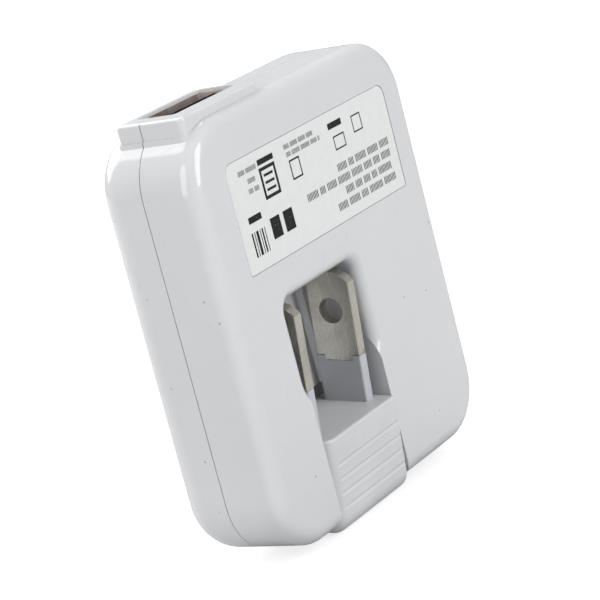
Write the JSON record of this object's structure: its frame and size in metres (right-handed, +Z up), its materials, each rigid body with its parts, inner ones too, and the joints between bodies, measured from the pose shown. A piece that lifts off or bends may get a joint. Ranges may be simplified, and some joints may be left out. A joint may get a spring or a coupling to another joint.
{
  "type": "usb wall charger",
  "caption": "Compact white USB wall charger: rounded flat casing, raised USB collar on one end, ribbed carrier with folding flat blades in a recess",
  "frame": {"origin": "On the plane of the wall face, midway between the two blades, at the height of the fold axis", "axes": "+Z up towards the USB end, +X along the fold axis to the right seen from the wall side, +Y into the charger away from the wall"},
  "size_m": [0.0486, 0.0163, 0.0564],
  "materials": {
    "white_case": "glossy moulded casing, cool white",
    "label_film": "printed white label film",
    "carrier_plastic": "semi-gloss moulded block",
    "plated_blade": "nickel-plated brass with drawn grain",
    "sleeve_plastic": "moulded insulating sleeve",
    "pin_brass": "turned pin",
    "inner_plastic": "moulded inner bracket",
    "screw_steel": "zinc-plated screws",
    "spring_steel": "tempered strip",
    "contact_bronze": "phosphor bronze leaf",
    "board_laminate": "paper laminate circuit board",
    "input_can": "sleeved aluminium can",
    "output_can": "sleeved aluminium can",
    "blue_coating": "dipped disc coating",
    "amber_coating": "dipped disc coating",
    "resistor_coating": "flameproof coating",
    "package_epoxy": "moulded epoxy package",
    "opto_epoxy": "moulded white package",
    "resistor_ceramic": "glazed chip bodies",
    "ferrite": "sintered ferrite",
    "copper_winding": "enamelled copper wire",
    "winding_tape": "polyester tape",
    "bobbin_plastic": "phenolic bobbin",
    "socket_shell": "nickel-plated steel shell",
    "socket_insulator": "black insulator",
    "contact_gold": "gold-flashed contacts"
  },
  "bodies": {
    "casing": {"bridge_rectifier": "package_epoxy", "carrier_retainer": "inner_plastic", "chip_resistors": "resistor_ceramic", "contact_spring_left": "contact_bronze", "contact_spring_right": "contact_bronze", "controller_chip": "package_epoxy", "detent_spring": "spring_steel", "filter_inductor_core": "ferrite", "filter_inductor_winding": "copper_winding", "front_shell": "white_case", "fuse_resistor": "resistor_coating", "input_capacitor_1": "input_can", "input_capacitor_2": "input_can", "main_board": "board_laminate", "optocoupler": "opto_epoxy", "output_capacitor": "output_can", "output_diode": "package_epoxy", "rating_label": "label_film", "rear_shell": "white_case", "retainer_screws": "screw_steel", "safety_capacitor": "blue_coating", "snubber_capacitor": "amber_coating", "transformer_bobbin": "bobbin_plastic", "transformer_core": "ferrite", "transformer_winding": "winding_tape", "usb_contacts": "contact_gold", "usb_shell": "socket_shell", "usb_tongue": "socket_insulator"},
    "folding_plug": {"blade_carrier": "carrier_plastic", "blade_left": "plated_blade", "blade_right": "plated_blade", "blade_sleeve_left": "sleeve_plastic", "blade_sleeve_right": "sleeve_plastic", "pivot_pin_left": "pin_brass", "pivot_pin_right": "pin_brass"}
  },
  "joints": [
    {"name": "blade_fold", "type": "hinge", "parent": "casing", "child": "folding_plug", "pos_m": [0, 0.0056, 0], "axis": [1, 0, 0], "range_deg": [-5.7, 84.3]}
  ]
}
